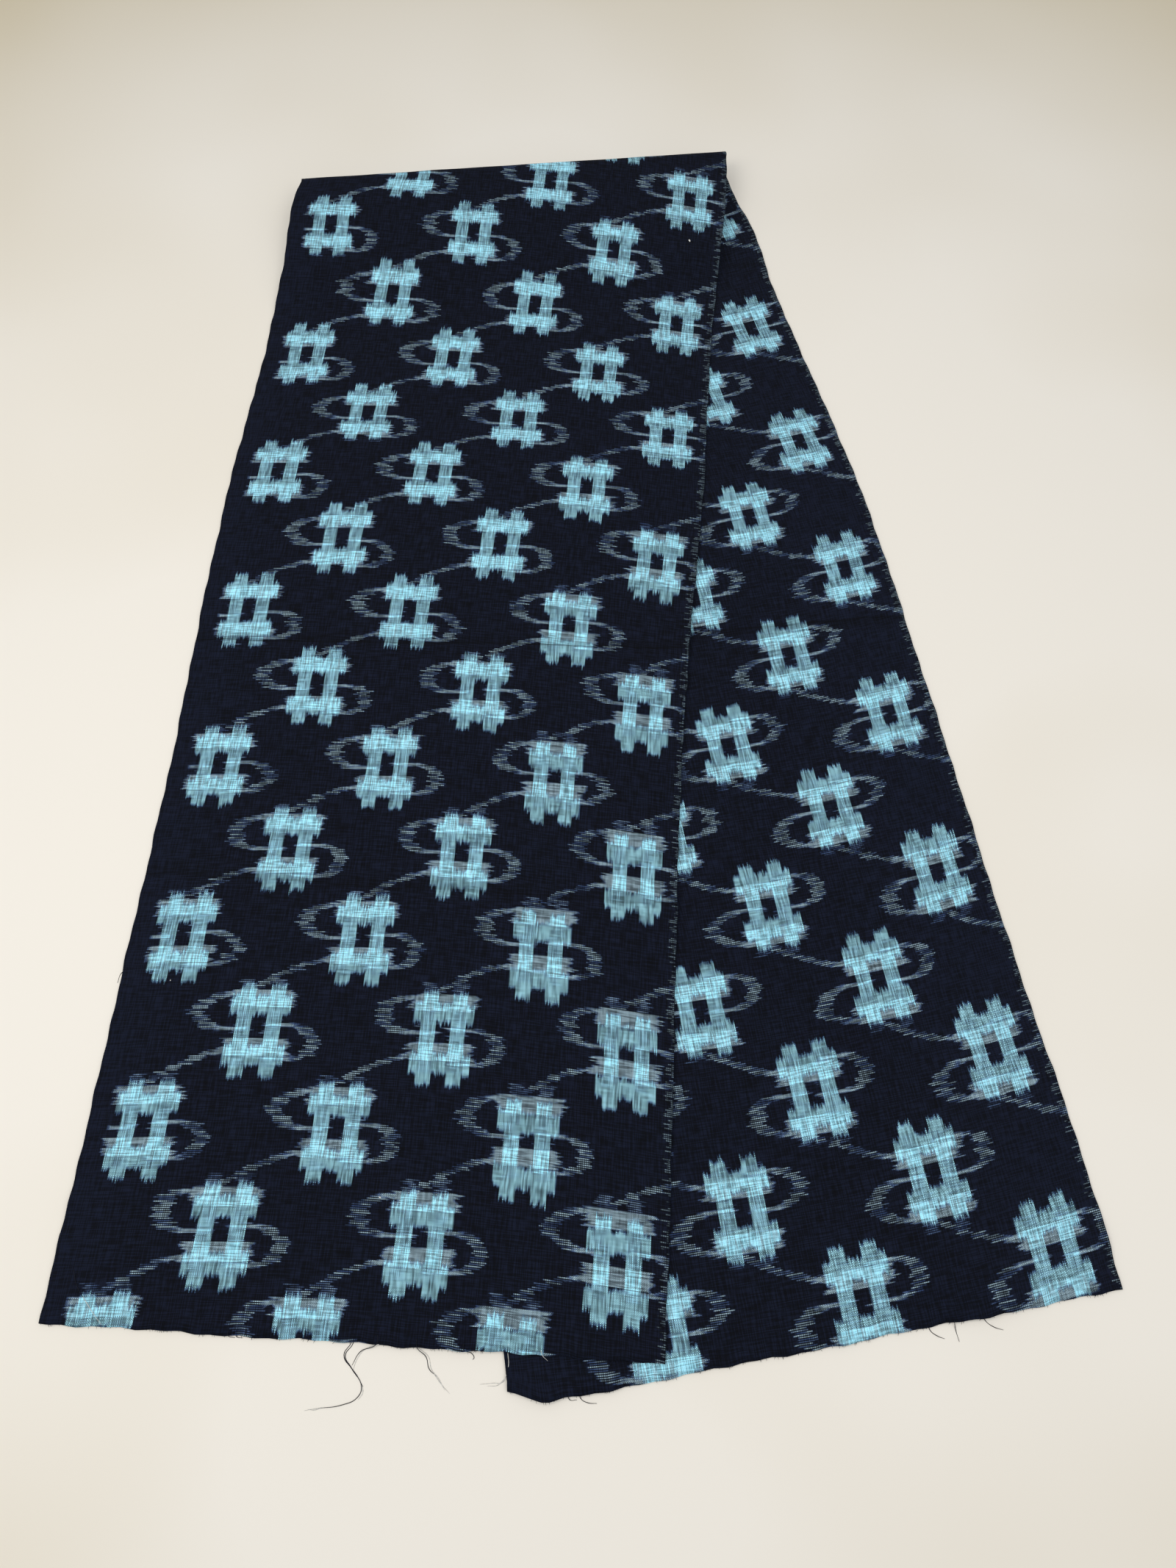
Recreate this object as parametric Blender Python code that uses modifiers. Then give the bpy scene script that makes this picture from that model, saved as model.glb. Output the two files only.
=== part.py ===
# Ikat woven cloth: one narrow length of indigo cotton, folded once and fanned out on a flat surface.
# Metres, +Z up. The origin lies on that surface, under the middle of the folded cloth.
# The strip starts at the cut end of its upper layer, runs away from the viewer (+Y) to the fold,
# turns over there in a soft roll and comes back underneath, turned to the right (+X), to its other cut end.

import math

import bmesh
import bpy
import numpy as np

THICKNESS = 0.0012  # the cloth as a solid
LAYER_GAP = 0.0004  # air between the layers where they lie flat
CELLS_ACROSS = 16  # from selvedge to selvedge
CELL_LENGTH = 0.020  # longest cell along the strip
ROLL_CELLS = 12  # around the roll of the fold
STEP_START = 0.024  # the upper layer is at full height this far outside the lower layer's selvedge
STEP_WIDTH = 0.040  # and comes down to the surface over this width
TURNED_CORNER = (-0.0439, -0.4770)  # where the lower layer's left corner ends, its tip turned under
TURN_DEPTH = 0.020  # length of selvedge that the turned corner pulls in

# Sections across the cloth, each a line from the left selvedge to the right one.
# Columns: left x, left y, left lift, right x, right y, right lift.
# A lift is how far the cloth stands above where it would rest.

# Upper layer, from its cut end to the top of the fold
UPPER_SECTIONS = (
    (-0.3174, -0.4546, 0.0000, 0.0461, -0.4585, 0.0000),
    (-0.3125, -0.3474, 0.0000, 0.0474, -0.3580, 0.0000),
    (-0.3096, -0.2475, 0.0000, 0.0478, -0.2580, 0.0004),
    (-0.3051, -0.0975, 0.0000, 0.0489, -0.1080, 0.0002),
    (-0.3047, 0.0324, 0.0000, 0.0543, 0.0218, 0.0010),
    (-0.3017, 0.1445, 0.0000, 0.0621, 0.1340, 0.0002),
    (-0.2953, 0.2396, 0.0000, 0.0669, 0.2745, 0.0000),
    (-0.2931, 0.2985, 0.0006, 0.0712, 0.3437, 0.0008),
    (-0.2905, 0.3330, 0.0060, 0.0740, 0.3824, 0.0095),
    (-0.2894, 0.3652, 0.0120, 0.0765, 0.4240, 0.0145),
    (-0.2885, 0.3960, 0.0155, 0.0771, 0.4560, 0.0175),
    (-0.2848, 0.4195, 0.0165, 0.0773, 0.4740, 0.0185),
)

# Lower layer, from the underside of the fold to its cut end
LOWER_SECTIONS = (
    (-0.2848, 0.4195, 0.0030, 0.0762, 0.4740, 0.0040),
    (-0.2773, 0.3910, 0.0012, 0.0882, 0.4430, 0.0018),
    (-0.2698, 0.3610, 0.0000, 0.0997, 0.4182, 0.0000),
    (-0.2429, 0.2855, 0.0000, 0.1208, 0.3426, 0.0000),
    (-0.2081, 0.1876, 0.0000, 0.1462, 0.2670, 0.0000),
    (-0.1692, 0.0781, 0.0000, 0.1811, 0.1620, 0.0000),
    (-0.1244, -0.1089, 0.0000, 0.2278, -0.0250, 0.0000),
    (-0.0801, -0.2939, 0.0000, 0.2709, -0.2100, 0.0000),
    (-0.0488, -0.4508, 0.0000, 0.3091, -0.3655, 0.0000),
    (-0.0408, -0.4858, 0.0000, 0.3174, -0.4078, 0.0000),
)

INDIGO = (0.012, 0.016, 0.034, 1.0)
COTTON_ROUGHNESS = 0.9


# Scene and material

def clear_scene():
    for thing in list(bpy.data.objects):
        bpy.data.objects.remove(thing, do_unlink=True)


def cotton_material():
    material = bpy.data.materials.new("indigo_cotton")
    material.use_nodes = True
    shader = material.node_tree.nodes["Principled BSDF"]
    shader.inputs["Base Color"].default_value = INDIGO
    shader.inputs["Roughness"].default_value = COTTON_ROUGHNESS
    shader.inputs["Metallic"].default_value = 0.0
    return material


# Shape of the strip

def smooth_step(value):
    # 0 below 0, 1 above 1, and an even S between them
    value = np.clip(value, 0.0, 1.0)
    return value * value * (3.0 - 2.0 * value)


def fill_sections(rows):
    # Smooth curves through the given sections, cut into cells no longer than CELL_LENGTH
    rows = np.array(rows)
    moves = np.diff(rows, axis=0)
    lengths = (np.hypot(moves[:, 0], moves[:, 1]) + np.hypot(moves[:, 3], moves[:, 4])) / 2
    stations = np.concatenate([[0.0], np.cumsum(lengths)])
    slopes = np.gradient(rows, stations, axis=0)
    filled = []
    for i, length in enumerate(lengths):
        cells = math.ceil(length / CELL_LENGTH)
        for t in np.arange(cells) / cells:
            start = (1 + 2 * t) * (1 - t) ** 2 * rows[i] + t * (1 - t) ** 2 * length * slopes[i]
            end = t * t * (3 - 2 * t) * rows[i + 1] + t * t * (t - 1) * length * slopes[i + 1]
            filled.append(start + end)
    filled.append(rows[-1])
    filled = np.array(filled)
    filled[:, [2, 5]] = np.maximum(filled[:, [2, 5]], 0.0)
    return filled


def across_points(section):
    # Points from the left selvedge to the right one: x, y and lift
    share = np.linspace(0.0, 1.0, CELLS_ACROSS + 1)[:, None]
    return section[:3] * (1 - share) + section[3:] * share


def lower_points():
    lower = np.array([across_points(section) for section in fill_sections(LOWER_SECTIONS)])
    lower[:, :, 2] += THICKNESS / 2
    # The corner whose tip is turned under: the selvedge is drawn in towards it
    selvedge = lower[:, 0]
    pull = smooth_step(1 - np.hypot(*(selvedge[-1, :2] - selvedge[:, :2]).T) / TURN_DEPTH)
    selvedge[:, :2] += pull[:, None] * (np.array(TURNED_CORNER) - selvedge[-1, :2])
    return lower


def upper_points(lower):
    upper = np.array([across_points(section) for section in fill_sections(UPPER_SECTIONS)])
    # It rests on the lower layer, and steps down to the surface to the left of that layer's selvedge
    selvedge = lower[::-1, 0]
    selvedge_x = np.interp(upper[:, :, 1], selvedge[:, 1], selvedge[:, 0])
    outside = selvedge_x - STEP_START - upper[:, :, 0]
    on_lower = smooth_step(1 - outside / STEP_WIDTH)
    upper[:, :, 2] += THICKNESS / 2 + on_lower * (THICKNESS + LAYER_GAP)
    return upper


def roll_points(top, bottom):
    # Half circles from the last upper section over to the first lower one
    fold_line = top[-1] - top[0]
    outward = np.array([-fold_line[1], fold_line[0], 0.0]) / np.hypot(fold_line[0], fold_line[1])
    middle = (top + bottom) / 2
    half = (top - bottom) / 2
    radius = np.linalg.norm(half, axis=1)[:, None]
    turns = np.linspace(0.0, math.pi, ROLL_CELLS + 1)[1:-1]
    return np.array([middle + half * math.cos(a) + outward * radius * math.sin(a) for a in turns])


def strip_points():
    lower = lower_points()
    upper = upper_points(lower)
    return np.concatenate([upper, roll_points(upper[-1], lower[0]), lower])


# The cloth

def add_cloth(collection):
    points = strip_points()
    cells_along = len(points) - 1
    grid = bmesh.new()
    bmesh.ops.create_grid(grid, x_segments=CELLS_ACROSS, y_segments=cells_along, size=0.5)
    for vertex in grid.verts:
        across = round((vertex.co.x + 0.5) * CELLS_ACROSS)
        along = round((vertex.co.y + 0.5) * cells_along)
        vertex.co = points[along, across]
    mesh = bpy.data.meshes.new("cloth")
    grid.to_mesh(mesh)
    grid.free()
    mesh.shade_smooth()
    mesh.materials.append(cotton_material())
    cloth = bpy.data.objects.new("cloth", mesh)
    collection.objects.link(cloth)
    body = cloth.modifiers.new("body", "SOLIDIFY")
    body.thickness = THICKNESS
    body.offset = 0.0
    body.use_even_offset = True
    return cloth


clear_scene()
parts = bpy.data.collections.new("ikat_woven_cloth")
bpy.context.scene.collection.children.link(parts)
add_cloth(parts)
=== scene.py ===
import math
from math import radians

import bpy
import numpy as np
from mathutils import Matrix, Vector


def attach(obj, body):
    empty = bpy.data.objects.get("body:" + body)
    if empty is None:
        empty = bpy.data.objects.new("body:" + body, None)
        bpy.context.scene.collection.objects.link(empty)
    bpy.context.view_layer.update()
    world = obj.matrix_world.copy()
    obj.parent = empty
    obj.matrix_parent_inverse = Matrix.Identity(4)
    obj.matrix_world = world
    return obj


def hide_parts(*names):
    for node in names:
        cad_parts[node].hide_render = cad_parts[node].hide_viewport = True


# Ikat woven cloth: a narrow length of double ikat cotton, folded once and fanned out on a pale table.
# Metres, +Z up, the fold lies far from the camera (+Y).

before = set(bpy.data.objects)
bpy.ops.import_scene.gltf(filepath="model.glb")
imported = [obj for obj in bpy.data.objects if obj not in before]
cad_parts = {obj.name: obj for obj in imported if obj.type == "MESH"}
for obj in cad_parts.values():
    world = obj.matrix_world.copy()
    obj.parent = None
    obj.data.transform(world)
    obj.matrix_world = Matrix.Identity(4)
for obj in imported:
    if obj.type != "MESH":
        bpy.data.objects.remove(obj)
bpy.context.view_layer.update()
print("frame loaded")


# Small helpers for objects

def deselectAll():
    bpy.ops.object.select_all(action="DESELECT")


def pickOnly(piece):
    deselectAll()
    piece.select_set(True)
    bpy.context.view_layer.objects.active = piece


def applyModifiers(piece):
    pickOnly(piece)
    for modifier in list(piece.modifiers):
        bpy.ops.object.modifier_apply(modifier=modifier.name)


def joinAs(name, pieces):
    deselectAll()
    for piece in pieces:
        piece.select_set(True)
    bpy.context.view_layer.objects.active = pieces[0]
    bpy.ops.object.join()
    joined = bpy.context.object
    joined.name = name
    joined.data.name = name
    pickOnly(joined)
    bpy.ops.object.transform_apply(location=True, rotation=True, scale=True)
    return joined


# Small helpers for shader nodes: a value is a number or another node's output

def link(tree, value, socket):
    if isinstance(value, (int, float, tuple)):
        socket.default_value = value
    else:
        tree.links.new(value, socket)


def calc(tree, kind, *values):
    node = tree.nodes.new("ShaderNodeMath")
    node.operation = kind
    for i, value in enumerate(values):
        link(tree, value, node.inputs[i])
    return node.outputs[0]


def plus(tree, first, second):
    return calc(tree, "ADD", first, second)


def minus(tree, first, second):
    return calc(tree, "SUBTRACT", first, second)


def times(tree, first, second):
    return calc(tree, "MULTIPLY", first, second)


def timesPlus(tree, value, factor, shift):
    return calc(tree, "MULTIPLY_ADD", value, factor, shift)


def larger(tree, first, second):
    return calc(tree, "MAXIMUM", first, second)


def unsigned(tree, value):
    return calc(tree, "ABSOLUTE", value)


def ramp(tree, value, low, high, toLow=0.0, toHigh=1.0, kind="SMOOTHSTEP"):
    # toLow at low, toHigh at high, smooth between them
    node = tree.nodes.new("ShaderNodeMapRange")
    node.interpolation_type = kind
    link(tree, value, node.inputs["Value"])
    link(tree, low, node.inputs["From Min"])
    link(tree, high, node.inputs["From Max"])
    node.inputs["To Min"].default_value = toLow
    node.inputs["To Max"].default_value = toHigh
    return node.outputs["Result"]


def mixTone(tree, share, first, second):
    node = tree.nodes.new("ShaderNodeMix")
    node.data_type = "RGBA"
    link(tree, share, node.inputs["Factor"])
    link(tree, first, node.inputs["A"])
    link(tree, second, node.inputs["B"])
    return node.outputs["Result"]


def noise(tree, x, xScale, y, yScale):
    # Smooth noise over a plane, with its own scale for each axis
    place = tree.nodes.new("ShaderNodeCombineXYZ")
    link(tree, times(tree, x, xScale), place.inputs["X"])
    link(tree, times(tree, y, yScale), place.inputs["Y"])
    node = tree.nodes.new("ShaderNodeTexNoise")
    node.noise_dimensions = "2D"
    node.inputs["Scale"].default_value = 1.0
    node.inputs["Detail"].default_value = 0.0
    tree.links.new(place.outputs["Vector"], node.inputs["Vector"])
    return node.outputs["Fac"]


def tint(red, green, blue):
    # Blender's linear colour from the 0 to 255 numbers of a colour picker
    parts = [value / 255 for value in (red, green, blue)]
    parts = [value / 12.92 if value <= 0.04045 else ((value + 0.055) / 1.055) ** 2.4 for value in parts]
    return (*parts, 1.0)


# Camera, light and table

cameraSet = {
    "place": (-0.0153, -0.3530, 0.6822),
    "pitch": 20.01,  # degrees forward of straight down
    "roll": 2.906,
    "lens": 23.965,
    "sensor": 36.0,
    "nearest": 0.05,
}

lightSet = {
    "skyTone": (0.92, 0.96, 1.0, 1.0),
    "skyPower": 0.58,
    "keyPlace": (-0.85, -0.30, 1.15),
    "keySize": 0.9,
    "keyPower": 6.2,
    "keyTone": (1.0, 0.97, 0.92),
    "fillPlace": (0.8, -0.35, 1.5),
    "fillSize": 1.4,
    "fillPower": 6.6,
    "fillTone": (1.0, 0.98, 0.95),
    "backPlace": (-0.05, 0.10, 1.30),
    "backSize": 0.35,
    "backPower": 2.6,
    "backTone": (1.0, 0.96, 0.9),
}

tableSet = {
    "size": 7.0,
    "tone": tint(233, 227, 217),
    "paintedFarShade": tint(196, 179, 139),
    "fadeOut": (0.45, 1.15),  # distance from the middle over which the painted far shade comes in
    "fadeBack": (1.4, 2.4),  # and goes again
    "cloudScale": 2.4,
    "cloudShare": 0.12,
    "roughness": 0.55,
    "specular": 0.3,
}


def addCamera():
    place = Matrix.Translation(cameraSet["place"])
    pitch = Matrix.Rotation(radians(cameraSet["pitch"]), 4, "X")
    roll = Matrix.Rotation(radians(cameraSet["roll"]), 4, "Z")
    deselectAll()
    bpy.ops.object.camera_add()
    camera = bpy.context.object
    camera.name = "photoCamera"
    camera.matrix_world = place @ pitch @ roll
    camera.data.lens = cameraSet["lens"]
    camera.data.sensor_width = cameraSet["sensor"]
    camera.data.clip_start = cameraSet["nearest"]
    bpy.context.scene.camera = camera


def addAreaLight(name, place, size, power, tone):
    deselectAll()
    bpy.ops.object.light_add(type="AREA", location=place)
    light = bpy.context.object
    light.name = name
    light.data.shape = "DISK"
    light.data.size = size
    light.data.energy = power
    light.data.color = tone
    light.rotation_euler = Vector(place).to_track_quat("Z", "Y").to_euler()  # turned to the origin


def addLights():
    world = bpy.data.worlds.new("softRoom")
    world.use_nodes = True
    sky = world.node_tree.nodes["Background"]
    sky.inputs["Color"].default_value = lightSet["skyTone"]
    sky.inputs["Strength"].default_value = lightSet["skyPower"]
    bpy.context.scene.world = world
    for name in ("key", "fill", "back"):
        addAreaLight(
            name + "Light", lightSet[name + "Place"], lightSet[name + "Size"],
            lightSet[name + "Power"], lightSet[name + "Tone"],
        )
    bpy.context.scene.view_settings.view_transform = "Standard"


def tableFinish():
    material = bpy.data.materials.new("paleTable")
    material.use_nodes = True
    tree = material.node_tree
    shader = tree.nodes["Principled BSDF"]
    place = tree.nodes.new("ShaderNodeTexCoord").outputs["Object"]
    # Painted shade: darker and yellower away from the lamps
    length = tree.nodes.new("ShaderNodeVectorMath")
    length.operation = "LENGTH"
    tree.links.new(place, length.inputs[0])
    distance = length.outputs["Value"]
    near, far = tableSet["fadeOut"]
    farther, farthest = tableSet["fadeBack"]
    share = times(tree, ramp(tree, distance, near, far), ramp(tree, distance, farthest, farther))
    cloud = tree.nodes.new("ShaderNodeTexNoise")
    cloud.inputs["Scale"].default_value = tableSet["cloudScale"]
    cloud.inputs["Detail"].default_value = 2.0
    tree.links.new(place, cloud.inputs["Vector"])
    most = tableSet["cloudShare"]
    share = plus(tree, share, ramp(tree, cloud.outputs["Fac"], 0.3, 0.7, -most, most))
    link(tree, mixTone(tree, share, tableSet["tone"], tableSet["paintedFarShade"]), shader.inputs["Base Color"])
    shader.inputs["Roughness"].default_value = tableSet["roughness"]
    shader.inputs["Specular IOR Level"].default_value = tableSet["specular"]
    return material


def addTable():
    deselectAll()
    bpy.ops.mesh.primitive_plane_add(size=tableSet["size"])
    table = bpy.context.object
    table.name = "paleTable"
    table.data.materials.append(tableFinish())


addCamera()
addLights()
addTable()
print("camera, light and table set")


# The folded cloth. Its sections run from the left selvedge to the right one:
# left x, y, lift and strip distance, then the same at the right. Strip distance is measured
# along the cloth from the lowest full row of motifs, and the pattern follows it.

clothSet = {
    "width": 0.360,
    "length": 1.880,
    "thickness": 0.00045,
    "cellsAcross": 84,
    "cellLength": 0.0046,
    "rollCells": 18,
    "restHeight": 0.0003,  # middle of the cloth above the table
    "layerStep": 0.0007,  # upper layer above the lower one
    "stepStart": 0.024,  # the upper layer is at full height this far outside the lower selvedge
    "stepWidth": 0.040,  # and comes down to the table over this width
    "turnedCorner": (-0.0439, -0.4770),
    "turnDepth": 0.020,
    "rumple": 0.0005,  # height of the low swells
    "rumpleLengths": (0.16, 0.09, 0.05),
    # How far the selvedges and the cut ends wander, and over which lengths
    "selvedgeWander": 0.00024,
    "selvedgeLengths": (0.021, 0.043, 0.09),
    "selvedgeReach": 0.03,  # share of the width that follows a selvedge
    "cutWander": 0.00036,
    "cutLengths": (0.017, 0.037, 0.11),
    "cutReach": 5,  # rows of cells that follow a cut end
    # Places where the cloth stands off a little: x, y, reach, height
    "lowerLifts": (
        (-0.024, -0.482, 0.030, 0.0022),
        (0.010, -0.476, 0.024, 0.0012),
        (0.150, -0.446, 0.020, 0.0010),
        (0.237, -0.426, 0.036, 0.0022),
        (0.312, -0.378, 0.016, 0.0012),
    ),
    "upperLifts": (
        (0.053, 0.006, 0.016, 0.0018),
        (0.050, -0.073, 0.014, 0.0014),
        (0.048, -0.186, 0.016, 0.0018),
        (0.047, -0.330, 0.018, 0.0012),
        (-0.110, -0.456, 0.030, 0.0007),
        (-0.314, -0.390, 0.014, 0.0010),
    ),
}

upperSections = (
    (-0.3174, -0.4546, 0.0000, -0.0572, 0.0461, -0.4585, 0.0000, -0.0504),
    (-0.3125, -0.3474, 0.0000, 0.0500, 0.0474, -0.3580, 0.0000, 0.0500),
    (-0.3096, -0.2475, 0.0000, 0.1500, 0.0478, -0.2580, 0.0004, 0.1500),
    (-0.3051, -0.0975, 0.0000, 0.3000, 0.0489, -0.1080, 0.0002, 0.3000),
    (-0.3047, 0.0324, 0.0000, 0.4300, 0.0543, 0.0218, 0.0010, 0.4300),
    (-0.3017, 0.1445, 0.0000, 0.5400, 0.0621, 0.1340, 0.0002, 0.5400),
    (-0.2953, 0.2396, 0.0000, 0.6430, 0.0669, 0.2745, 0.0000, 0.6920),
    (-0.2931, 0.2985, 0.0006, 0.6990, 0.0712, 0.3437, 0.0008, 0.7610),
    (-0.2905, 0.3330, 0.0060, 0.7305, 0.0740, 0.3824, 0.0095, 0.8000),
    (-0.2894, 0.3652, 0.0120, 0.7625, 0.0765, 0.4240, 0.0145, 0.8420),
    (-0.2885, 0.3960, 0.0155, 0.7940, 0.0771, 0.4560, 0.0175, 0.8750),
    (-0.2848, 0.4195, 0.0165, 0.8180, 0.0773, 0.4740, 0.0185, 0.8920),
)

lowerSections = (
    (-0.2848, 0.4195, 0.0030, 0.8400, 0.0762, 0.4740, 0.0040, 0.9140),
    (-0.2773, 0.3910, 0.0012, 0.8730, 0.0882, 0.4430, 0.0018, 0.9470),
    (-0.2698, 0.3610, 0.0000, 0.9100, 0.0997, 0.4182, 0.0000, 0.9750),
    (-0.2429, 0.2855, 0.0000, 1.0000, 0.1208, 0.3426, 0.0000, 1.0500),
    (-0.2081, 0.1876, 0.0000, 1.1150, 0.1462, 0.2670, 0.0000, 1.1300),
    (-0.1692, 0.0781, 0.0000, 1.2439, 0.1811, 0.1620, 0.0000, 1.2439),
    (-0.1244, -0.1089, 0.0000, 1.4362, 0.2278, -0.0250, 0.0000, 1.4362),
    (-0.0801, -0.2939, 0.0000, 1.6264, 0.2709, -0.2100, 0.0000, 1.6264),
    (-0.0488, -0.4508, 0.0000, 1.7863, 0.3091, -0.3655, 0.0000, 1.7863),
    (-0.0408, -0.4858, 0.0000, 1.8226, 0.3174, -0.4078, 0.0000, 1.8298),
)

# Storage creases: two across the upper layer and one across the lower, as x and y along each
creaseSet = {
    "upperDeep": ((-0.293, -0.0085), (-0.181, -0.0022), (-0.074, 0.0015), (0.0225, 0.0046), (0.055, 0.0040)),
    "upperFaint": (
        (-0.300, -0.1840), (-0.2085, -0.1847), (-0.159, -0.1836), (-0.090, -0.1861), (0.048, -0.1890),
    ),
    "lowerDeep": (
        (0.050, 0.0170), (0.0763, 0.0210), (0.1143, 0.0243),
        (0.1415, 0.0296), (0.1854, 0.0370), (0.24, 0.045),
    ),
    "deepDepth": 0.0007,
    "faintDepth": 0.0003,
    "halfWidth": 0.0045,
    "endFade": 0.03,
}


def smoothStep(value):
    value = np.clip(value, 0.0, 1.0)
    return value * value * (3.0 - 2.0 * value)


def fillSections(rows):
    # Smooth curves through the sections, cut into short cells
    rows = np.array(rows)
    moves = np.diff(rows, axis=0)
    lengths = (np.hypot(moves[:, 0], moves[:, 1]) + np.hypot(moves[:, 4], moves[:, 5])) / 2
    stations = np.concatenate([[0.0], np.cumsum(lengths)])
    slopes = np.gradient(rows, stations, axis=0)
    filled = []
    for i, length in enumerate(lengths):
        cells = math.ceil(length / clothSet["cellLength"])
        for t in np.arange(cells) / cells:
            start = (1 + 2 * t) * (1 - t) ** 2 * rows[i] + t * (1 - t) ** 2 * length * slopes[i]
            end = t * t * (3 - 2 * t) * rows[i + 1] + t * t * (t - 1) * length * slopes[i + 1]
            filled.append(start + end)
    filled.append(rows[-1])
    filled = np.array(filled)
    filled[:, [2, 6]] = np.maximum(filled[:, [2, 6]], 0.0)
    return filled


def acrossPoints(rows):
    share = np.linspace(0.0, 1.0, clothSet["cellsAcross"] + 1)[None, :, None]
    return rows[:, None, :4] * (1 - share) + rows[:, None, 4:] * share


def waves(x, y, seed):
    # Low uneven swells, from 0 to about 1: three sines of each length, each its own way
    dice = np.random.default_rng(seed)
    total = 0.0
    for length in clothSet["rumpleLengths"]:
        for turn in dice.uniform(0, math.tau, 3):
            phase = dice.uniform(0, math.tau)
            stretch = dice.uniform(0.7, 1.3)
            run = x * math.cos(turn) + y * math.sin(turn)
            total = total + np.sin(run * math.tau / (length * stretch) + phase)
    return 0.5 + total / (6 * len(clothSet["rumpleLengths"]))


def crease(x, y, line, depth):
    xs, ys = np.array(line).T
    offset = (y - np.interp(x, xs, ys)) / creaseSet["halfWidth"]
    fade = creaseSet["endFade"]
    ends = smoothStep((x - xs[0]) / fade + 1) * smoothStep((xs[-1] - x) / fade + 1)
    return depth * np.exp(-offset ** 2) * ends


def lifts(x, y, spots):
    return sum(height * smoothStep(1 - np.hypot(x - px, y - py) / reach) for px, py, reach, height in spots)


def lowerRumple(x, y):
    low = clothSet["rumple"] * waves(x, y, 5) + lifts(x, y, clothSet["lowerLifts"])
    return low + creaseSet["deepDepth"] - crease(x, y, creaseSet["lowerDeep"], creaseSet["deepDepth"])


def upperRumple(x, y):
    low = clothSet["rumple"] * waves(x, y, 11) + lifts(x, y, clothSet["upperLifts"])
    deep = crease(x, y, creaseSet["upperDeep"], creaseSet["deepDepth"])
    faint = crease(x, y, creaseSet["upperFaint"], creaseSet["faintDepth"])
    return low + creaseSet["deepDepth"] - deep - faint


def wander(run, lengths, dice):
    return sum(np.sin(run * math.tau / length + dice.uniform(0, math.tau)) for length in lengths)


def edgeWaves(points, seed, cutFirst):
    # The selvedges wander a little across the strip, and the cut end a little along it
    dice = np.random.default_rng(seed)
    count = points.shape[0]
    across = np.linspace(0, 1, points.shape[1])
    for side, column in ((-1, 0), (1, -1)):
        edge = points[:, column, :2]
        run = np.cumsum(np.hypot(*np.diff(edge, axis=0, prepend=edge[:1]).T))
        wave = wander(run, clothSet["selvedgeLengths"], dice)
        weight = np.clip(1 - np.abs(across - across[column]) / clothSet["selvedgeReach"], 0, 1)
        points[:, :, 0] += side * clothSet["selvedgeWander"] * wave[:, None] * weight[None, :]
    wave = wander(across * clothSet["width"], clothSet["cutLengths"], dice)
    reach = clothSet["cutReach"]
    weight = np.linspace(1, 0, reach)[:, None]
    rows = slice(0, reach) if cutFirst else slice(count - 1, count - 1 - reach, -1)
    points[rows, :, 1] += clothSet["cutWander"] * wave[None, :] * weight
    return points


def lowerPoints():
    lower = acrossPoints(fillSections(lowerSections))
    lower = edgeWaves(lower, 8, cutFirst=False)
    x, y = lower[:, :, 0], lower[:, :, 1]
    lower[:, :, 2] += clothSet["restHeight"] + lowerRumple(x, y)
    # The corner whose tip is turned under: the cloth is drawn in towards it
    corner = lower[-1, 0, :2].copy()
    reach = np.hypot(x - corner[0], y - corner[1])
    pull = smoothStep(1 - reach / clothSet["turnDepth"])
    lower[:, :, :2] += pull[:, :, None] * (np.array(clothSet["turnedCorner"]) - corner)
    return lower


def upperPoints(lower):
    upper = acrossPoints(fillSections(upperSections))
    upper = edgeWaves(upper, 3, cutFirst=True)
    x, y = upper[:, :, 0], upper[:, :, 1]
    # It rests on the lower layer, and steps down to the table to the left of that layer's selvedge
    selvedge = lower[::-1, 0]
    selvedgeX = np.interp(y, selvedge[:, 1], selvedge[:, 0])
    outside = selvedgeX - clothSet["stepStart"] - x
    onLower = smoothStep(1 - outside / clothSet["stepWidth"])
    upper[:, :, 2] += clothSet["restHeight"] + upperRumple(x, y)
    upper[:, :, 2] += onLower * (lowerRumple(x, y) + clothSet["layerStep"])
    return upper


def rollPoints(top, bottom):
    # Half circles from the last upper section over to the first lower one
    foldLine = top[-1] - top[0]
    outward = np.array([-foldLine[1], foldLine[0], 0.0]) / np.hypot(foldLine[0], foldLine[1])
    middle = (top + bottom) / 2
    half = (top - bottom) / 2
    radius = np.linalg.norm(half[:, :3], axis=1)[:, None]
    rows = []
    for turn in np.linspace(0.0, math.pi, clothSet["rollCells"] + 1)[1:-1]:
        row = middle + half * math.cos(turn)
        row[:, :3] += outward * radius * math.sin(turn)
        row[:, 3] = middle[:, 3] + half[:, 3] * (1 - 2 * turn / math.pi)
        rows.append(row)
    return np.array(rows)


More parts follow.
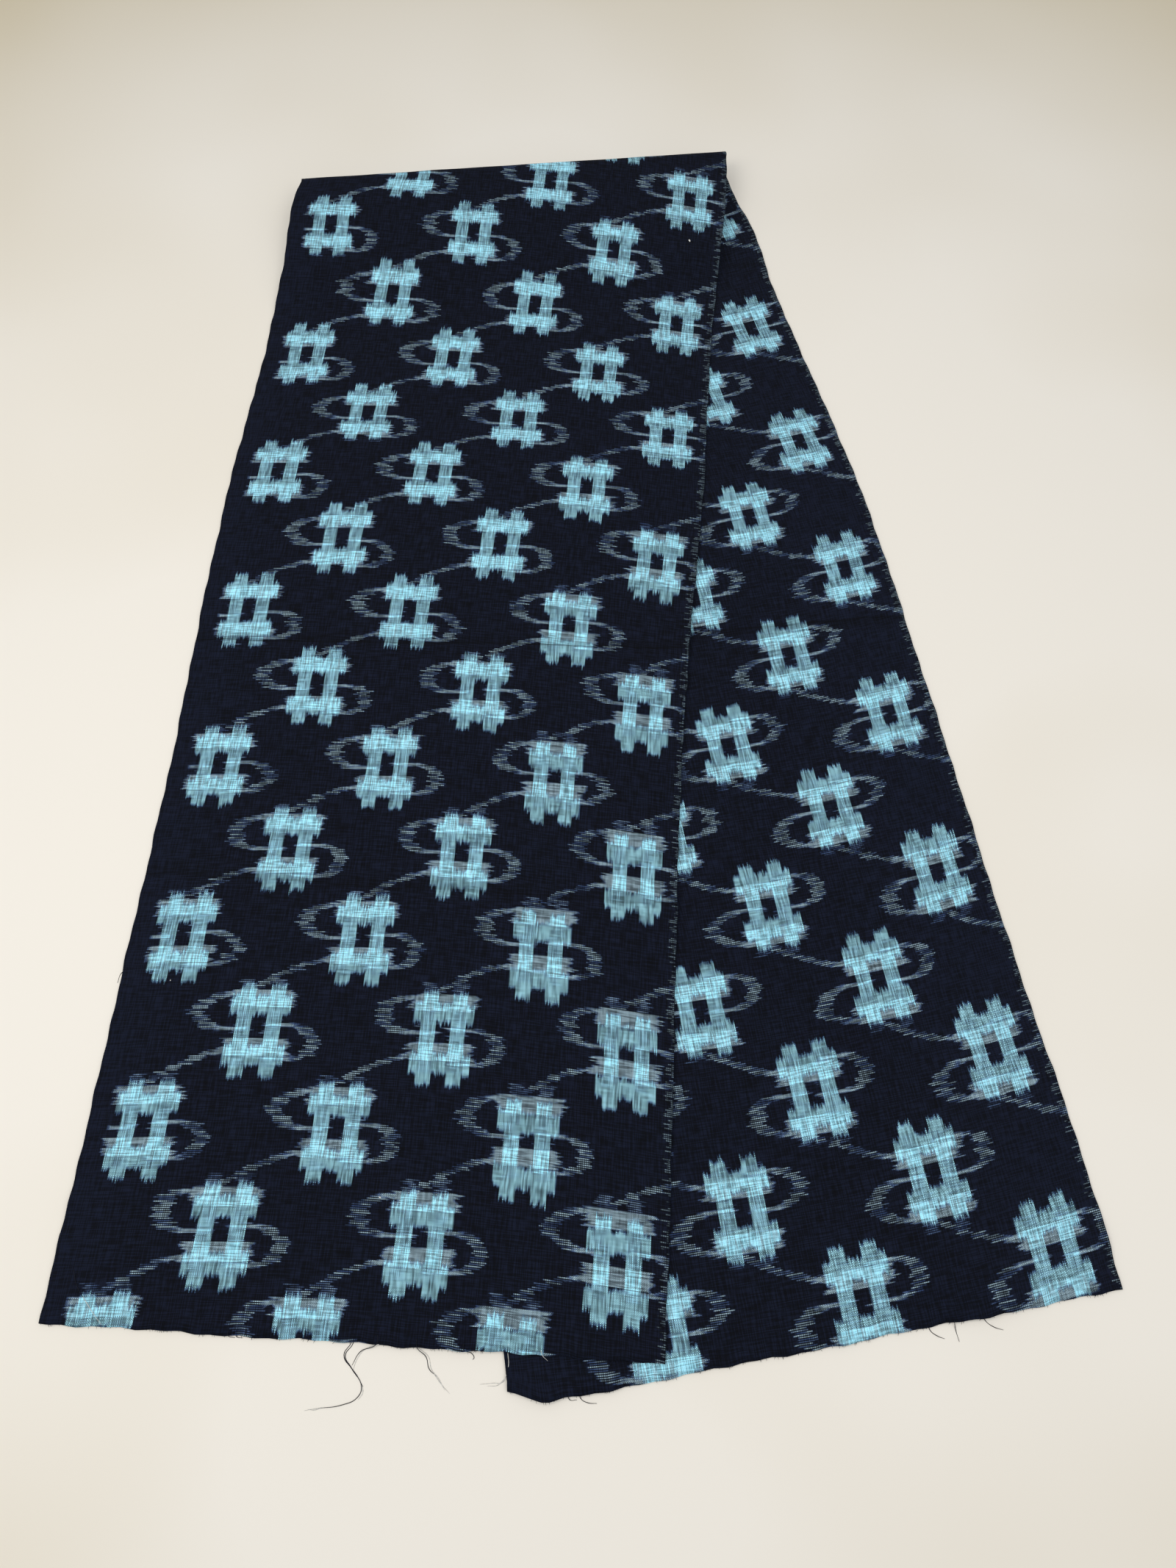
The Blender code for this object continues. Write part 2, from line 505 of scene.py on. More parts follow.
def addSheet():
    lower = lowerPoints()
    upper = upperPoints(lower)
    points = np.concatenate([upper, rollPoints(upper[-1], lower[0]), lower])
    rows, columns = points.shape[:2]
    deselectAll()
    bpy.ops.mesh.primitive_grid_add(x_subdivisions=columns - 1, y_subdivisions=rows - 1, size=1.0)
    sheet = bpy.context.object
    sheet.name = "ikatSheet"
    mesh = sheet.data
    mesh.name = "ikatSheet"
    flat = np.empty(len(mesh.vertices) * 3, dtype=np.float32)
    mesh.vertices.foreach_get("co", flat)
    flat = flat.reshape(-1, 3)
    column = np.rint((flat[:, 0] + 0.5) * (columns - 1)).astype(int)
    row = np.rint((flat[:, 1] + 0.5) * (rows - 1)).astype(int)
    placed = points[row, column]
    mesh.vertices.foreach_set("co", placed[:, :3].astype(np.float32).ravel())
    # The weave's own map: metres from the left selvedge, metres along the strip
    corners = np.empty(len(mesh.loops), dtype=np.int32)
    mesh.loops.foreach_get("vertex_index", corners)
    weaveMap = np.column_stack([column / (columns - 1) * clothSet["width"], placed[:, 3]])[corners]
    layer = mesh.uv_layers[0]
    layer.name = "weave"
    layer.data.foreach_set("uv", weaveMap.astype(np.float32).ravel())
    mesh.update()
    body = sheet.modifiers.new("body", "SOLIDIFY")
    body.thickness = clothSet["thickness"]
    body.offset = 0.0
    applyModifiers(sheet)
    bpy.ops.object.shade_smooth()
    return sheet, (points[0, :, :3], points[-1, :, :3])


# The weave: warp and weft are dyed apart, each with its own figure, and cross in the cloth.
# All its lengths are in mm, across from the left selvedge and along the strip.

weaveSet = {
    "pitch": 0.6,  # from one yarn to the next, both ways
    "firstColumn": 34.3,
    "columnStep": 59.12,
    "rowStep": 60.15,
    "bowTop": 3.3,  # rows bow towards the selvedges
    "bowMiddle": 207.0,
    # How far the yarns slip: each by itself, and together with its neighbours
    "weftSlip": 9.0,
    "weftDrift": 5.0,
    "warpSlip": 6.0,
    "warpDrift": 2.0,
    # How far a figure stands up the strip: at (distance, rise), and what the right side adds
    "weftUpLeft": (
        (0, 4.0), (150, 2.0), (330, 1.0), (560, -2.5), (700, -2.5), (1200, 4.0), (1460, 4.5), (1580, 0.5),
    ),
    "weftUpRight": ((0, 5.0), (330, 6.0), (600, 3.5), (1200, 0.0), (1460, 0.0), (1600, 3.5)),
    "weftRight": (120.0, 320.0),  # across these the right side's part comes in
    "warpUpLeft": (
        (300, -2.2), (420, 0.8), (700, 0.8), (900, -1.0), (1250, -0.2), (1440, -0.2), (1520, -3.0),
    ),
    "warpUpRight": ((300, -1.8), (420, -4.2), (700, -4.2), (1200, 0.0)),
    "warpRight": (220.0, 270.0),
    "sway": (800.0, 1500.0, 0.0, 3.1),  # between two distances both figures move to the left
}

# Legs and bars of a motif's two figures: distance of their middle lines from the motif's middle,
# half width and softness of their sides, half length and softness of their ends
figureSet = {
    "warpLegs": (9.6, 4.8, 0.1, 29.0, 1.3),
    "warpBars": (15.8, 6.0, 1.3, 19.3, 0.1),
    "weftLegs": (9.8, 3.8, 1.2, 28.4, 0.2),
    "weftBars": (15.6, 5.5, 0.2, 20.2, 1.2),
    "leftReach": 75.0,  # a motif repeats every two columns, counted from this far to its left
}

# The thin line in the weft: two bends that make an S, and a tail that runs on to the next motif
lineSet = {
    # Each bend is half an ellipse with straight ends: middle x and y, half sizes, and the side it is on
    "bends": ((-20.0, 7.2, 18.0, 11.2, -1), (20.0, -12.0, 15.5, 10.7, 1)),
    "bendThick": (0.18, 0.095),  # half width in shares of the half size: gain outwards, and at first
    "bendSoft": 0.03,
    "bendStart": (3.0, 7.0),  # aside of the motif's middle
    "bendStraight": (0.45, 0.15),  # shares outwards: past the first only every second pick is dyed
    "tailStart": -20.0,
    "tailRun": 38.0,
    "tailEnd": (-70.0, -64.0),
    "tailLevel": -18.5,
    "tailDrop": 15.5,  # how far it has dropped after its run
    "tailCurve": 1.5,
    "tailThick": (1.4, 2.2),  # half width at its start and further on
    "tailStraight": (0.25, 0.1),
    # Ranges across the cloth over which the lines come in: all of them, and the bends at either border
    "plainLeft": (12.0, 15.0),
    "firstBends": (22.0, 26.0),
    "lastBends": (338.0, 334.0),
    "legDashes": (360.0, 460.0, 0.75, 0.3),  # a range along the strip, and the dashes' depth at both ends
}

# Scales of the noises, along the yarn and from yarn to yarn
noiseSet = {
    "slip": (0.012, 7.37),
    "weftDrift": (0.008, 0.19),
    "warpDrift": (0.008, 0.13),
    "dash": (0.05, 9.7),
    "warpDepth": (0.07, 5.71),
    "weftDepth": (0.08, 5.71),
    "fleck": (0.08, 0.83),
    "crease": 0.03,
}

# Each range is low and high, then what it gives at both
dyeAndPaintedLight = {
    "ground": tint(6, 10, 23),
    "groundLight": tint(12, 17, 32),
    "warpOnly": tint(154, 206, 220),
    "weftOnly": tint(137, 160, 171),
    "both": tint(148, 209, 228),
    "bleed": tint(36, 62, 116),
    "warpBleed": 2.4,
    "weftBleed": 2.0,
    "bleedMost": 0.4,
    "dashDepth": (0.36, 0.5, 0.2, 1.0),
    "yarnDepth": (0.28, 0.5, 0.4, 1.0),
    "warpUnder": 0.75,  # how much of a yarn's dye is lost where it passes under a dark one
    "weftUnder": 0.6,
    "streaks": (0.7, 1.5),
    "sheenLeft": (45.0, 0.0, 0.0, 0.7),  # painted sheen: the ground is paler near the edges
    "sheenRight": (240.0, 350.0, 0.0, 0.6),
    "sheenFrom": (900.0, 1300.0),  # on the right only past here
    "flecks": (0.3, 0.7, -0.28, 0.26),
    "relief": (0.7, 0.62),  # painted shade from yarn relief: factor and base
    "tickStart": (0.25, 0.7, 354.5, 358.6),
    "tickHere": (0.42, 0.52),
    "tickDepth": 0.45,
    # Painted shade along the storage creases: strip distance at the left selvedge, rise per mm across, depth
    # of the shade
    "creases": ((388.9, 0.0636, 0.9), (213.5, 0.02, 0.7), (1337.6, 0.088, 0.85)),
    "creaseWander": 3.0,
    "creaseLine": (0.4, 1.3),  # half width and softness
    "creaseShade": (10.0, 0.35),  # reach of the softer shade above the line, and its share
    "roughness": 0.85,
    "specular": 0.12,
    "bumpStrength": 0.35,
    "bumpHeight": 0.0001,
}


def steps(tree, value, table):
    # Straight lines between the (place, height) pairs of a table
    total = float(table[0][1])
    for (low, before), (high, after) in zip(table, table[1:]):
        if after != before:
            total = plus(tree, total, ramp(tree, value, low, high, 0.0, after - before, "LINEAR"))
    return total


def softBand(tree, value, half, soft):
    # 1 where the value is nearer to 0 than half, fading over soft on either side
    return ramp(tree, unsigned(tree, value), half + soft, half - soft)


def twoBands(tree, aside, run, part):
    # A motif's two legs or two bars
    middle, half, soft, reach, endSoft = figureSet[part]
    bands = softBand(tree, minus(tree, unsigned(tree, aside), middle), half, soft)
    return times(tree, bands, softBand(tree, run, reach, endSoft))


def bend(tree, x, y, dash, shape):
    middleX, middleY, halfX, halfY, side = shape
    out = larger(tree, times(tree, minus(tree, x, middleX), side / halfX), 0.0)
    up = times(tree, minus(tree, y, middleY), 1 / halfY)
    radius = calc(tree, "SQRT", plus(tree, times(tree, out, out), times(tree, up, up)))
    thick = timesPlus(tree, out, *lineSet["bendThick"])
    offLine = minus(tree, unsigned(tree, minus(tree, radius, 1.0)), thick)
    line = ramp(tree, offLine, lineSet["bendSoft"], -lineSet["bendSoft"])
    line = times(tree, line, ramp(tree, times(tree, x, side), *lineSet["bendStart"]))
    return times(tree, line, larger(tree, ramp(tree, out, *lineSet["bendStraight"]), dash))


def tail(tree, x, y, dash):
    start, run = lineSet["tailStart"], lineSet["tailRun"]
    away = larger(tree, timesPlus(tree, x, -1 / run, start / run), 0.0)
    drop = times(tree, calc(tree, "POWER", away, lineSet["tailCurve"]), lineSet["tailDrop"])
    offLine = unsigned(tree, plus(tree, minus(tree, y, lineSet["tailLevel"]), drop))
    thick = ramp(tree, away, 0.0, 0.5, *lineSet["tailThick"])
    line = ramp(tree, minus(tree, offLine, thick), 0.3, -0.3)
    line = times(tree, line, ramp(tree, x, start + 3.0, start))
    line = times(tree, line, ramp(tree, x, *lineSet["tailEnd"]))
    return times(tree, line, larger(tree, ramp(tree, away, *lineSet["tailStraight"]), dash))


def warpFigure(tree, x, y):
    # Two legs and two bars, sharp across and drawn out along the warp
    return larger(tree, twoBands(tree, x, y, "warpLegs"), twoBands(tree, y, x, "warpBars"))


def weftFigure(tree, x, y, dash, limits):
    # The same drawn out along the weft, its legs in dashes, with the thin line.
    # The limits are those of the left bend, the right one, all lines and the legs.
    bends = [
        times(tree, bend(tree, x, y, dash, shape), limit)
        for shape, limit in zip(lineSet["bends"], limits)
    ]
    lines = larger(tree, larger(tree, bends[0], bends[1]), tail(tree, x, y, dash))
    lines = times(tree, lines, limits[2])
    legs = times(tree, twoBands(tree, x, y, "weftLegs"), times(tree, dash, limits[3]))
    return larger(tree, larger(tree, twoBands(tree, y, x, "weftBars"), legs), lines)


def yarnPlaces(tree):
    # Where a point lies in the weave, and which warp end and weft pick cross there
    uv = tree.nodes.new("ShaderNodeUVMap")
    uv.uv_map = "weave"
    split = tree.nodes.new("ShaderNodeSeparateXYZ")
    tree.links.new(uv.outputs["UV"], split.inputs["Vector"])
    across = times(tree, split.outputs["X"], 1000.0)
    along = times(tree, split.outputs["Y"], 1000.0)
    # Rows bow, so the picks do too
    column = weaveSet["columnStep"]
    aside = timesPlus(tree, across, 1 / column, -weaveSet["bowMiddle"] / column)
    bow = minus(tree, weaveSet["bowTop"], times(tree, aside, aside))
    level = minus(tree, along, bow)
    pitch = weaveSet["pitch"]
    endPlace = calc(tree, "DIVIDE", across, pitch)
    pickPlace = calc(tree, "DIVIDE", level, pitch)
    end = calc(tree, "FLOOR", endPlace)
    pick = calc(tree, "FLOOR", pickPlace)
    return {
        "across": across,
        "along": along,
        "level": level,
        "endPlace": endPlace,
        "pickPlace": pickPlace,
        "end": end,
        "pick": pick,
        "endMiddle": timesPlus(tree, end, pitch, pitch / 2),
        "pickMiddle": timesPlus(tree, pick, pitch, pitch / 2),
        "odd": calc(tree, "FLOORED_MODULO", pick, 2.0),
        "over": calc(tree, "FLOORED_MODULO", plus(tree, end, pick), 2.0),
    }


def weftNoise(tree, spot, name):
    run, yarn = noiseSet[name]
    return noise(tree, spot["across"], run, spot["pick"], yarn)


def warpNoise(tree, spot, name):
    run, yarn = noiseSet[name]
    return noise(tree, spot["end"], yarn, spot["along"], run)


def slipOf(tree, yarn, slip, drift):
    slipped = times(tree, minus(tree, slip, 0.5), weaveSet[yarn + "Slip"])
    return plus(tree, slipped, times(tree, minus(tree, drift, 0.5), weaveSet[yarn + "Drift"]))


def riseOf(tree, spot, yarn):
    # The two figures slide past each other along the strip, and differently at each selvedge
    rightward = ramp(tree, spot["across"], *weaveSet[yarn + "Right"])
    left = steps(tree, spot["along"], weaveSet[yarn + "UpLeft"])
    right = steps(tree, spot["along"], weaveSet[yarn + "UpRight"])
    return plus(tree, left, times(tree, rightward, right))


def dyedFigures(tree, spot, weftSlip, dashNoise):
    # How much dye the warp end and the weft pick carry at this point
    across, along = spot["across"], spot["along"]
    shiftX = slipOf(tree, "weft", weftSlip, weftNoise(tree, spot, "weftDrift"))
    shiftY = slipOf(tree, "warp", warpNoise(tree, spot, "slip"), warpNoise(tree, spot, "warpDrift"))
    sway = ramp(tree, along, *weaveSet["sway"])
    pickX = plus(tree, plus(tree, across, sway), shiftX)
    endX = plus(tree, spot["endMiddle"], sway)
    pickY = minus(tree, spot["pickMiddle"], riseOf(tree, spot, "weft"))
    endY = plus(tree, minus(tree, spot["level"], riseOf(tree, spot, "warp")), shiftY)

    # The lines are dashed: every second pick is dyed, some of them poorly
    dash = times(tree, spot["odd"], ramp(tree, dashNoise, *dyeAndPaintedLight["dashDepth"]))
    plain = ramp(tree, across, *lineSet["plainLeft"])
    firstBends = ramp(tree, across, *lineSet["firstBends"])
    lastBends = ramp(tree, across, *lineSet["lastBends"])
    inLegs = ramp(tree, along, *lineSet["legDashes"])

    # Two sets of motifs, staggered: one in the even columns, and the other in the odd ones a row higher
    warpDye = 0.0
    weftDye = 0.0
    step, rise = weaveSet["columnStep"], weaveSet["rowStep"]
    left = -figureSet["leftReach"]
    for startX, startY, limits in (
        (weaveSet["firstColumn"] + step, 0.0, (1.0, firstBends, plain, inLegs)),
        (weaveSet["firstColumn"], rise, (lastBends, 1.0, plain, inLegs)),
    ):
        wrapped = []
        for x, y in ((endX, endY), (pickX, pickY)):
            wrapped.append(calc(tree, "WRAP", minus(tree, x, startX), 2 * step + left, left))
            wrapped.append(calc(tree, "WRAP", minus(tree, y, startY), rise, -rise))
        warpDye = larger(tree, warpDye, warpFigure(tree, wrapped[0], wrapped[1]))
        weftDye = larger(tree, weftDye, weftFigure(tree, wrapped[2], wrapped[3], dash, limits))
    return warpDye, weftDye


def selvedgeTicks(tree, spot, weftSlip, dashNoise):
    # Pale ticks at the right selvedge, where dyed picks turn
    start = ramp(tree, weftSlip, *dyeAndPaintedLight["tickStart"])
    ticks = times(tree, ramp(tree, minus(tree, spot["across"], start), -0.5, 0.5), spot["odd"])
    here = ramp(tree, dashNoise, *dyeAndPaintedLight["tickHere"])
    return times(tree, ticks, times(tree, here, dyeAndPaintedLight["tickDepth"]))


def edgeOf(tree, dye, strength):
    # Strongest where the dye is half there
    return times(tree, times(tree, dye, minus(tree, 1.0, dye)), strength)


def shownDye(tree, dye, other, under):
    # What still shows of a yarn's dye: it is hidden where it passes under an undyed yarn
    return times(tree, dye, plus(tree, times(tree, minus(tree, 1.0, other), under), 1.0))


def groundTone(tree, spot, pickFleck, endFleck):
    share = ramp(tree, plus(tree, pickFleck, endFleck), *dyeAndPaintedLight["streaks"])
    # Painted sheen: the ground is paler near the left selvedge, and near the right one further along the
    # strip
    right = ramp(tree, spot["across"], *dyeAndPaintedLight["sheenRight"])
    right = times(tree, right, ramp(tree, spot["along"], *dyeAndPaintedLight["sheenFrom"]))
    sheen = plus(tree, ramp(tree, spot["across"], *dyeAndPaintedLight["sheenLeft"]), right)
    return mixTone(tree, plus(tree, share, sheen), dyeAndPaintedLight["ground"], dyeAndPaintedLight["groundLight"])


def paintedCreaseShade(tree, spot, tone):
    # Painted shade: darker along the storage creases, and a little above each
    most = dyeAndPaintedLight["creaseWander"]
    sideways = timesPlus(tree, noise(tree, spot["across"], noiseSet["crease"], 2.5, 1.0), most, -most / 2)
    reach, part = dyeAndPaintedLight["creaseShade"]
    for start, slope, depth in dyeAndPaintedLight["creases"]:
        offLine = minus(tree, spot["along"], timesPlus(tree, spot["across"], slope, start))
        offLine = plus(tree, offLine, sideways)
        shade = times(tree, softBand(tree, offLine, *dyeAndPaintedLight["creaseLine"]), depth)
        above = ramp(tree, offLine, reach, 0.0)
        above = times(tree, above, ramp(tree, offLine, -0.5, 0.5, 0.0, depth * part))
        tone = times(tree, tone, minus(tree, 1.0, larger(tree, shade, above)))
    return tone


def cottonFinish():
    material = bpy.data.materials.new("doubleIkatCotton")
    material.use_nodes = True
    tree = material.node_tree
    shader = tree.nodes["Principled BSDF"]
    spot = yarnPlaces(tree)

    # Every yarn slips by its own amount, which draws the figures' edges out
    weftSlip = weftNoise(tree, spot, "slip")
    dashNoise = weftNoise(tree, spot, "dash")
    warpDye, weftDye = dyedFigures(tree, spot, weftSlip, dashNoise)
    warpEdge = edgeOf(tree, warpDye, dyeAndPaintedLight["warpBleed"])
    weftEdge = edgeOf(tree, weftDye, dyeAndPaintedLight["weftBleed"])

    # Uneven dye: single yarns take less or more of it
    warpDye = times(tree, warpDye, ramp(tree, warpNoise(tree, spot, "warpDepth"), *dyeAndPaintedLight["yarnDepth"]))
    weftDye = times(tree, weftDye, ramp(tree, weftNoise(tree, spot, "weftDepth"), *dyeAndPaintedLight["yarnDepth"]))
    weftDye = larger(tree, weftDye, selvedgeTicks(tree, spot, weftSlip, dashNoise))

    # Plain weave: the warp shows at every second crossing and the weft at the others
    warpUnder = times(tree, spot["over"], -dyeAndPaintedLight["warpUnder"])
    weftUnder = timesPlus(tree, spot["over"], dyeAndPaintedLight["weftUnder"], -dyeAndPaintedLight["weftUnder"])
    warpShow = shownDye(tree, warpDye, weftDye, warpUnder)
    weftShow = shownDye(tree, weftDye, warpDye, weftUnder)

    pickFleck = weftNoise(tree, spot, "fleck")
    endFleck = warpNoise(tree, spot, "fleck")
    ground = groundTone(tree, spot, pickFleck, endFleck)
    onDark = mixTone(tree, warpShow, ground, dyeAndPaintedLight["warpOnly"])
    onPale = mixTone(tree, warpShow, dyeAndPaintedLight["weftOnly"], dyeAndPaintedLight["both"])
    colour = mixTone(tree, weftShow, onDark, onPale)
    edge = calc(tree, "MINIMUM", larger(tree, warpEdge, weftEdge), dyeAndPaintedLight["bleedMost"])
    colour = mixTone(tree, edge, colour, dyeAndPaintedLight["bleed"])

    # Yarn relief: each yarn is round. Its painted shade between the yarns sets the tone, with uneven
    # spinning and the painted shade of the creases.
    endRound = calc(tree, "COSINE", times(tree, spot["endPlace"], math.tau))
    pickRound = calc(tree, "COSINE", times(tree, spot["pickPlace"], math.tau))
    relief = timesPlus(tree, plus(tree, endRound, pickRound), -0.25, 0.5)
    tone = timesPlus(tree, relief, *dyeAndPaintedLight["relief"])
    tone = plus(tree, tone, ramp(tree, pickFleck, *dyeAndPaintedLight["flecks"]))
    tone = plus(tree, tone, ramp(tree, endFleck, *dyeAndPaintedLight["flecks"]))
    tone = paintedCreaseShade(tree, spot, tone)

    scale = tree.nodes.new("ShaderNodeVectorMath")
    scale.operation = "SCALE"
    tree.links.new(colour, scale.inputs[0])
    tree.links.new(tone, scale.inputs["Scale"])
    tree.links.new(scale.outputs["Vector"], shader.inputs["Base Color"])

    bump = tree.nodes.new("ShaderNodeBump")
    bump.inputs["Strength"].default_value = dyeAndPaintedLight["bumpStrength"]
    bump.inputs["Distance"].default_value = dyeAndPaintedLight["bumpHeight"]
    tree.links.new(relief, bump.inputs["Height"])
    tree.links.new(bump.outputs["Normal"], shader.inputs["Normal"])

    shader.inputs["Roughness"].default_value = dyeAndPaintedLight["roughness"]
    shader.inputs["Specular IOR Level"].default_value = dyeAndPaintedLight["specular"]
    return material


ikatSheet, cutEnds = addSheet()
ikatSheet.data.materials.append(cottonFinish())
print("ikat sheet:", len(ikatSheet.data.polygons), "faces")


# Loose yarn at the cut ends, lying on the table or on the cloth: x and y in mm, from the cloth outwards

looseSet = {
    "darkTone": tint(26, 28, 38),
    "paleTone": tint(214, 213, 208),
    "darkThick": 0.00042,
    "paleThick": 0.000336,
    "tip": 0.45,  # share of the thickness at the loose end
    "dark": (
        ((-136, -452), (-136, -456.4), (-139.4, -463), (-133.9, -469.9),
         (-127.3, -478.9), (-129.1, -484.1), (-137.4, -488.2), (-151.8, -490.6)),
        ((-135.2, -452), (-135, -457), (-138.6, -463.2),
         (-134.9, -468.6), (-130.2, -473.6), (-126.5, -478.6)),
        ((-121.1, -452), (-121.1, -456.1), (-130.3, -461), (-134.1, -468)),
        ((-98.4, -453), (-97.9, -456.9), (-91.9, -462), (-89.6, -467.9), (-85.6, -471.0)),
        ((-71.2, -454), (-70.6, -457.2), (-65.8, -458.9), (-64.3, -461.1), (-65.0, -462.0)),
        ((-207.8, -453), (-207.8, -455.8), (-203.4, -457.0)),
        ((-203.2, -453), (-202.6, -456.3), (-199.0, -456.9)),
        ((-197.5, -452), (-197.2, -455.3), (-194.8, -456.6)),
        ((-8.4, -476), (-7.9, -479.8), (-3.7, -479.7)),
        ((-2.2, -475), (-1.7, -478.8), (2.6, -480.9), (7.7, -481.0)),
        ((200.9, -431), (201.4, -434.6), (205.5, -437.5), (209.8, -438.8)),
        ((216.2, -429), (216.6, -433.9), (218.3, -440)),
        ((234.0, -424), (234.4, -428), (239.3, -431.3), (244.8, -432.6)),
        ((-308.0, -249), (-310.8, -251.3), (-311.9, -257.5)),
        ((-303.6, -425.7), (-301.6, -431.4), (-298.7, -436), (-295.3, -439.8)),
    ),
    "pale": (
        ((-148.8, -490.3), (-151.8, -490.6), (-158.3, -492)),
        ((-149.0, -490.0), (-152.4, -491.4), (-156.4, -491.2)),
        ((-97.0, -457.4), (-90.7, -461.6), (-88.2, -468.1), (-83.8, -472.4), (-79.7, -478.2)),
        ((-86.6, -470.2), (-82.0, -475.2), (-76.6, -479.9)),
        ((-120.0, -456.6), (-127.6, -459.6), (-131.6, -464.8), (-133.2, -470.4)),
        ((-128.0, -477.0), (-126.2, -481.2), (-128.4, -485.2)),
        ((-44.9, -453), (-44.9, -458), (-44.1, -463.2), (-45.3, -470)),
        ((-45.1, -469), (-47.0, -472.8), (-52.2, -473.4), (-59.8, -474.4)),
        ((-46.0, -471), (-49.6, -474.4), (-55.4, -475.0)),
        ((-25.9, -455.5), (-25.3, -457.5), (-21.7, -460.7)),
        ((-295.3, -439.8), (-289.4, -446.2), (-281.7, -453.8)),
    ),
}

# Short yarn ends along both cut ends
fraySet = {
    "count": 95,  # at each cut end
    "margin": 0.004,  # share of the width left bare at each selvedge
    "length": 0.0018,
    "thick": 0.00018,
    "tip": 0.00006,
    "outside": 0.35,  # share of the length by which its middle stands out of the cloth
    "droop": (-3, 7),  # degrees
    "spread": 0.45,  # radians, as a standard deviation
    "shortest": 0.35,
}

# White specks of fluff caught on the face: x, y and half length in mm, and turn in degrees
lintSet = {
    "tone": tint(236, 236, 230),
    "specks": ((48.1, 396.4, 1.3, 20), (-128.5, -377.6, 0.8, 70), (-278.4, -254.0, 0.5, 0)),
    "shape": (0.55, 1.0, 0.4),
    "uneven": (0.75, 1.15),
    "lift": 0.3,  # share of the half length
}


def landing(x, y):
    # Where the camera sees this place of the table: on the cloth, or on the table itself
    eye = Vector(cameraSet["place"])
    aim = Vector((x / 1000, y / 1000, 0.0))
    hit, place, normal, face = ikatSheet.ray_cast(eye, (aim - eye).normalized())
    return place if hit else aim


def yarnFinish(name, tone):
    material = bpy.data.materials.new(name)
    material.use_nodes = True
    tree = material.node_tree
    shader = tree.nodes["Principled BSDF"]
    place = tree.nodes.new("ShaderNodeTexCoord").outputs["Object"]
    fuzz = tree.nodes.new("ShaderNodeTexNoise")
    fuzz.inputs["Scale"].default_value = 900.0
    tree.links.new(place, fuzz.inputs["Vector"])
    dull = tuple(value * 0.7 for value in tone[:3]) + (1.0,)
    share = ramp(tree, fuzz.outputs["Fac"], 0.35, 0.65)
    link(tree, mixTone(tree, share, dull, tone), shader.inputs["Base Color"])
    shader.inputs["Roughness"].default_value = 0.85
    shader.inputs["Specular IOR Level"].default_value = 0.15
    return material


def addYarn(line, thickness, finish):
    deselectAll()
    bpy.ops.curve.primitive_bezier_curve_add()
    yarn = bpy.context.object
    spline = yarn.data.splines[0]
    spline.bezier_points.add(len(line) - 2)
    for point, (x, y) in zip(spline.bezier_points, line):
        point.co = landing(x, y) + Vector((0.0, 0.0, thickness / 2))
        point.handle_left_type = "AUTO"
        point.handle_right_type = "AUTO"
        point.radius = 1.0
    spline.bezier_points[-1].radius = looseSet["tip"]
    spline.resolution_u = 6
    yarn.data.bevel_depth = thickness / 2
    yarn.data.bevel_resolution = 1
    yarn.data.use_fill_caps = True
    yarn.data.materials.append(finish)
    bpy.ops.object.convert(target="MESH")
    yarn = bpy.context.object
    for vertex in yarn.data.vertices:
        vertex.co.z = max(vertex.co.z, 0.0)  # it lies on the table, not in it
    return yarn


def addLooseYarns():
    darkYarn = yarnFinish("darkYarn", looseSet["darkTone"])
    paleYarn = yarnFinish("paleYarn", looseSet["paleTone"])
    yarns = [addYarn(line, looseSet["darkThick"], darkYarn) for line in looseSet["dark"]]
    yarns += [addYarn(line, looseSet["paleThick"], paleYarn) for line in looseSet["pale"]]
    loose = joinAs("looseYarns", yarns)
    bpy.ops.object.shade_smooth()
    return loose


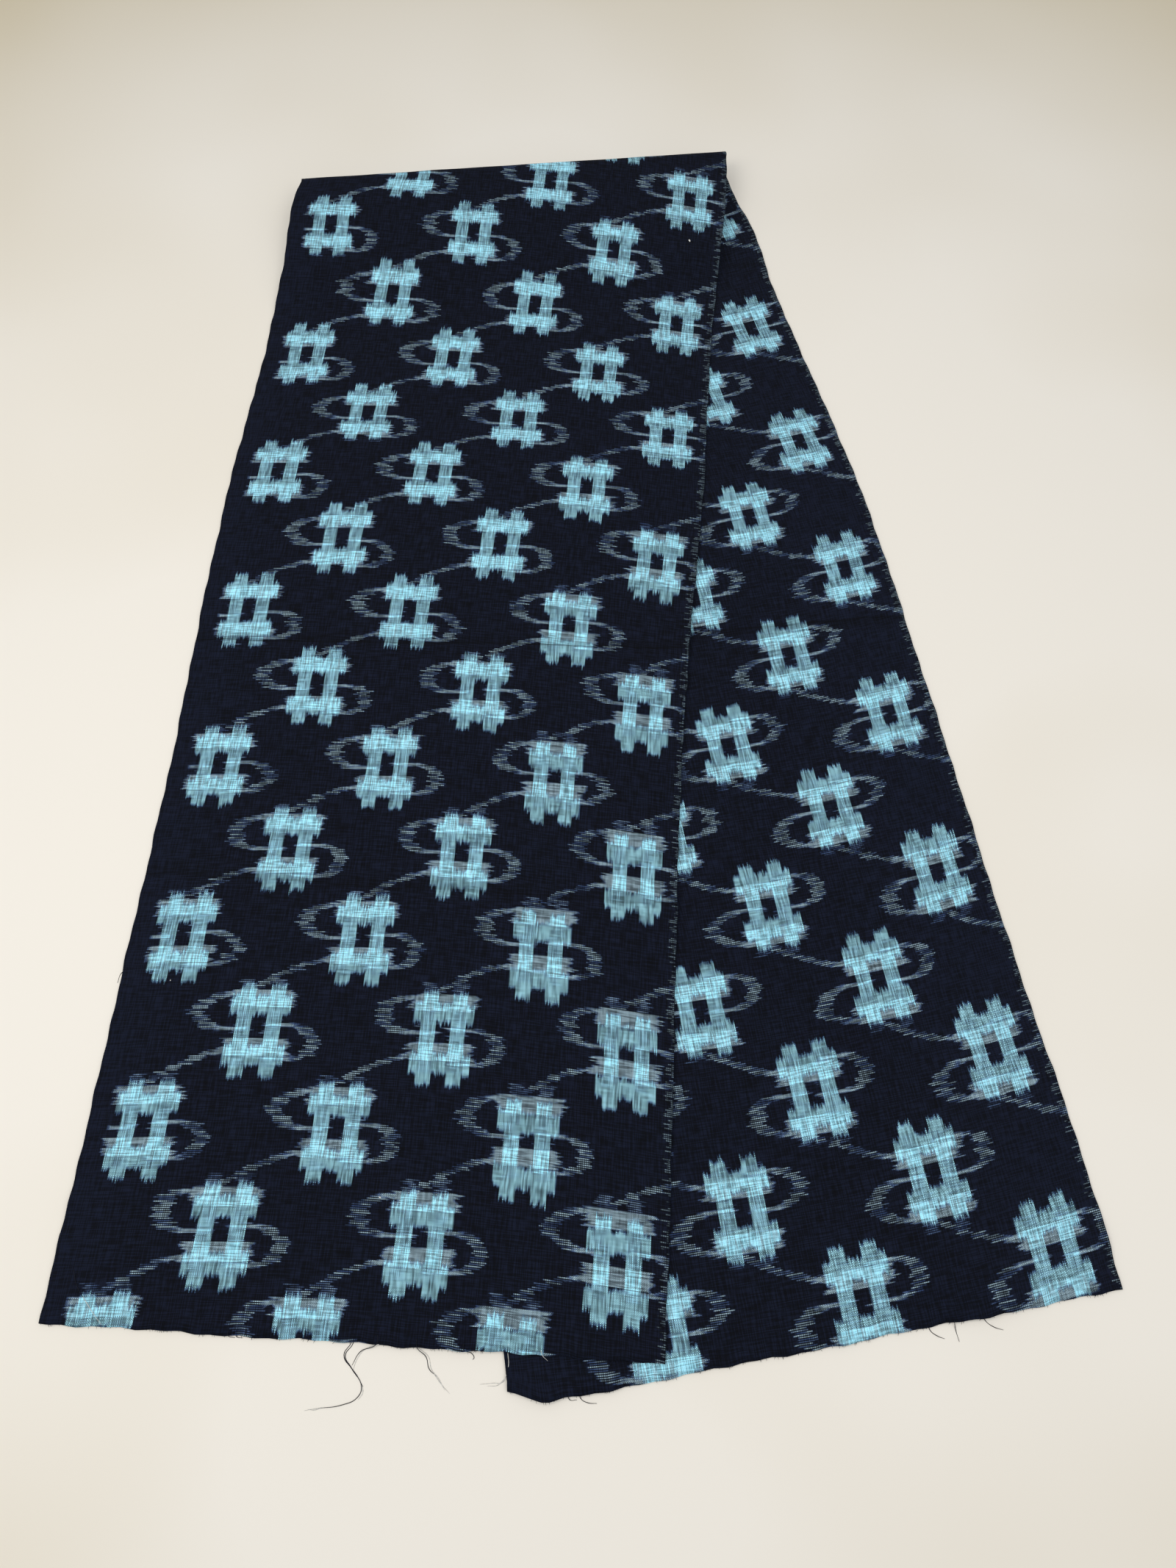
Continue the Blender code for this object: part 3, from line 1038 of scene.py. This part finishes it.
def addFrayedEnds():
    # One short yarn end, copied along both cut ends and pointing out of the cloth
    length = fraySet["length"]
    deselectAll()
    bpy.ops.mesh.primitive_cone_add(
        vertices=3, radius1=fraySet["thick"], radius2=fraySet["tip"], depth=length,
    )
    bpy.ops.object.mode_set(mode="EDIT")
    bpy.ops.mesh.select_all(action="SELECT")
    bpy.ops.transform.translate(value=(0.0, 0.0, length * fraySet["outside"]))
    bpy.ops.object.mode_set(mode="OBJECT")
    first = bpy.context.object
    first.data.materials.append(yarnFinish("frayedYarn", looseSet["darkTone"]))
    dice = np.random.default_rng(21)
    ends = []
    for hem in cutEnds:
        stations = np.linspace(0, 1, len(hem))
        for share in np.sort(dice.uniform(fraySet["margin"], 1 - fraySet["margin"], fraySet["count"])):
            end = first.copy()
            end.data = first.data.copy()
            bpy.context.collection.objects.link(end)
            end.location = [float(np.interp(share, stations, hem[:, axis])) for axis in range(3)]
            droop = radians(90 + dice.uniform(*fraySet["droop"]))
            end.rotation_euler = (droop, 0.0, dice.normal(0.0, fraySet["spread"]))
            end.scale = (1.0, 1.0, float(dice.uniform(fraySet["shortest"], 1.0)))
            ends.append(end)
    bpy.data.objects.remove(first)
    return joinAs("frayedEnds", ends)


def addLint():
    dice = np.random.default_rng(33)
    white = yarnFinish("lintWhite", lintSet["tone"])
    specks = []
    for x, y, half, turn in lintSet["specks"]:
        deselectAll()
        bpy.ops.mesh.primitive_ico_sphere_add(subdivisions=2, radius=half / 1000)
        speck = bpy.context.object
        for vertex in speck.data.vertices:
            vertex.co *= float(dice.uniform(*lintSet["uneven"]))
        speck.scale = lintSet["shape"]
        speck.rotation_euler = (0.0, 0.0, radians(turn))
        speck.location = landing(x, y) + Vector((0.0, 0.0, half / 1000 * lintSet["lift"]))
        speck.data.materials.append(white)
        specks.append(speck)
    lint = joinAs("lintSpecks", specks)
    bpy.ops.object.shade_smooth()
    return lint


looseYarns = addLooseYarns()
frayedEnds = addFrayedEnds()
lintSpecks = addLint()
print("loose yarns, frayed ends and lint added")

for piece in (looseYarns, frayedEnds, lintSpecks):
    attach(piece, "root")

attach(ikatSheet, "root")
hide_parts("cloth")
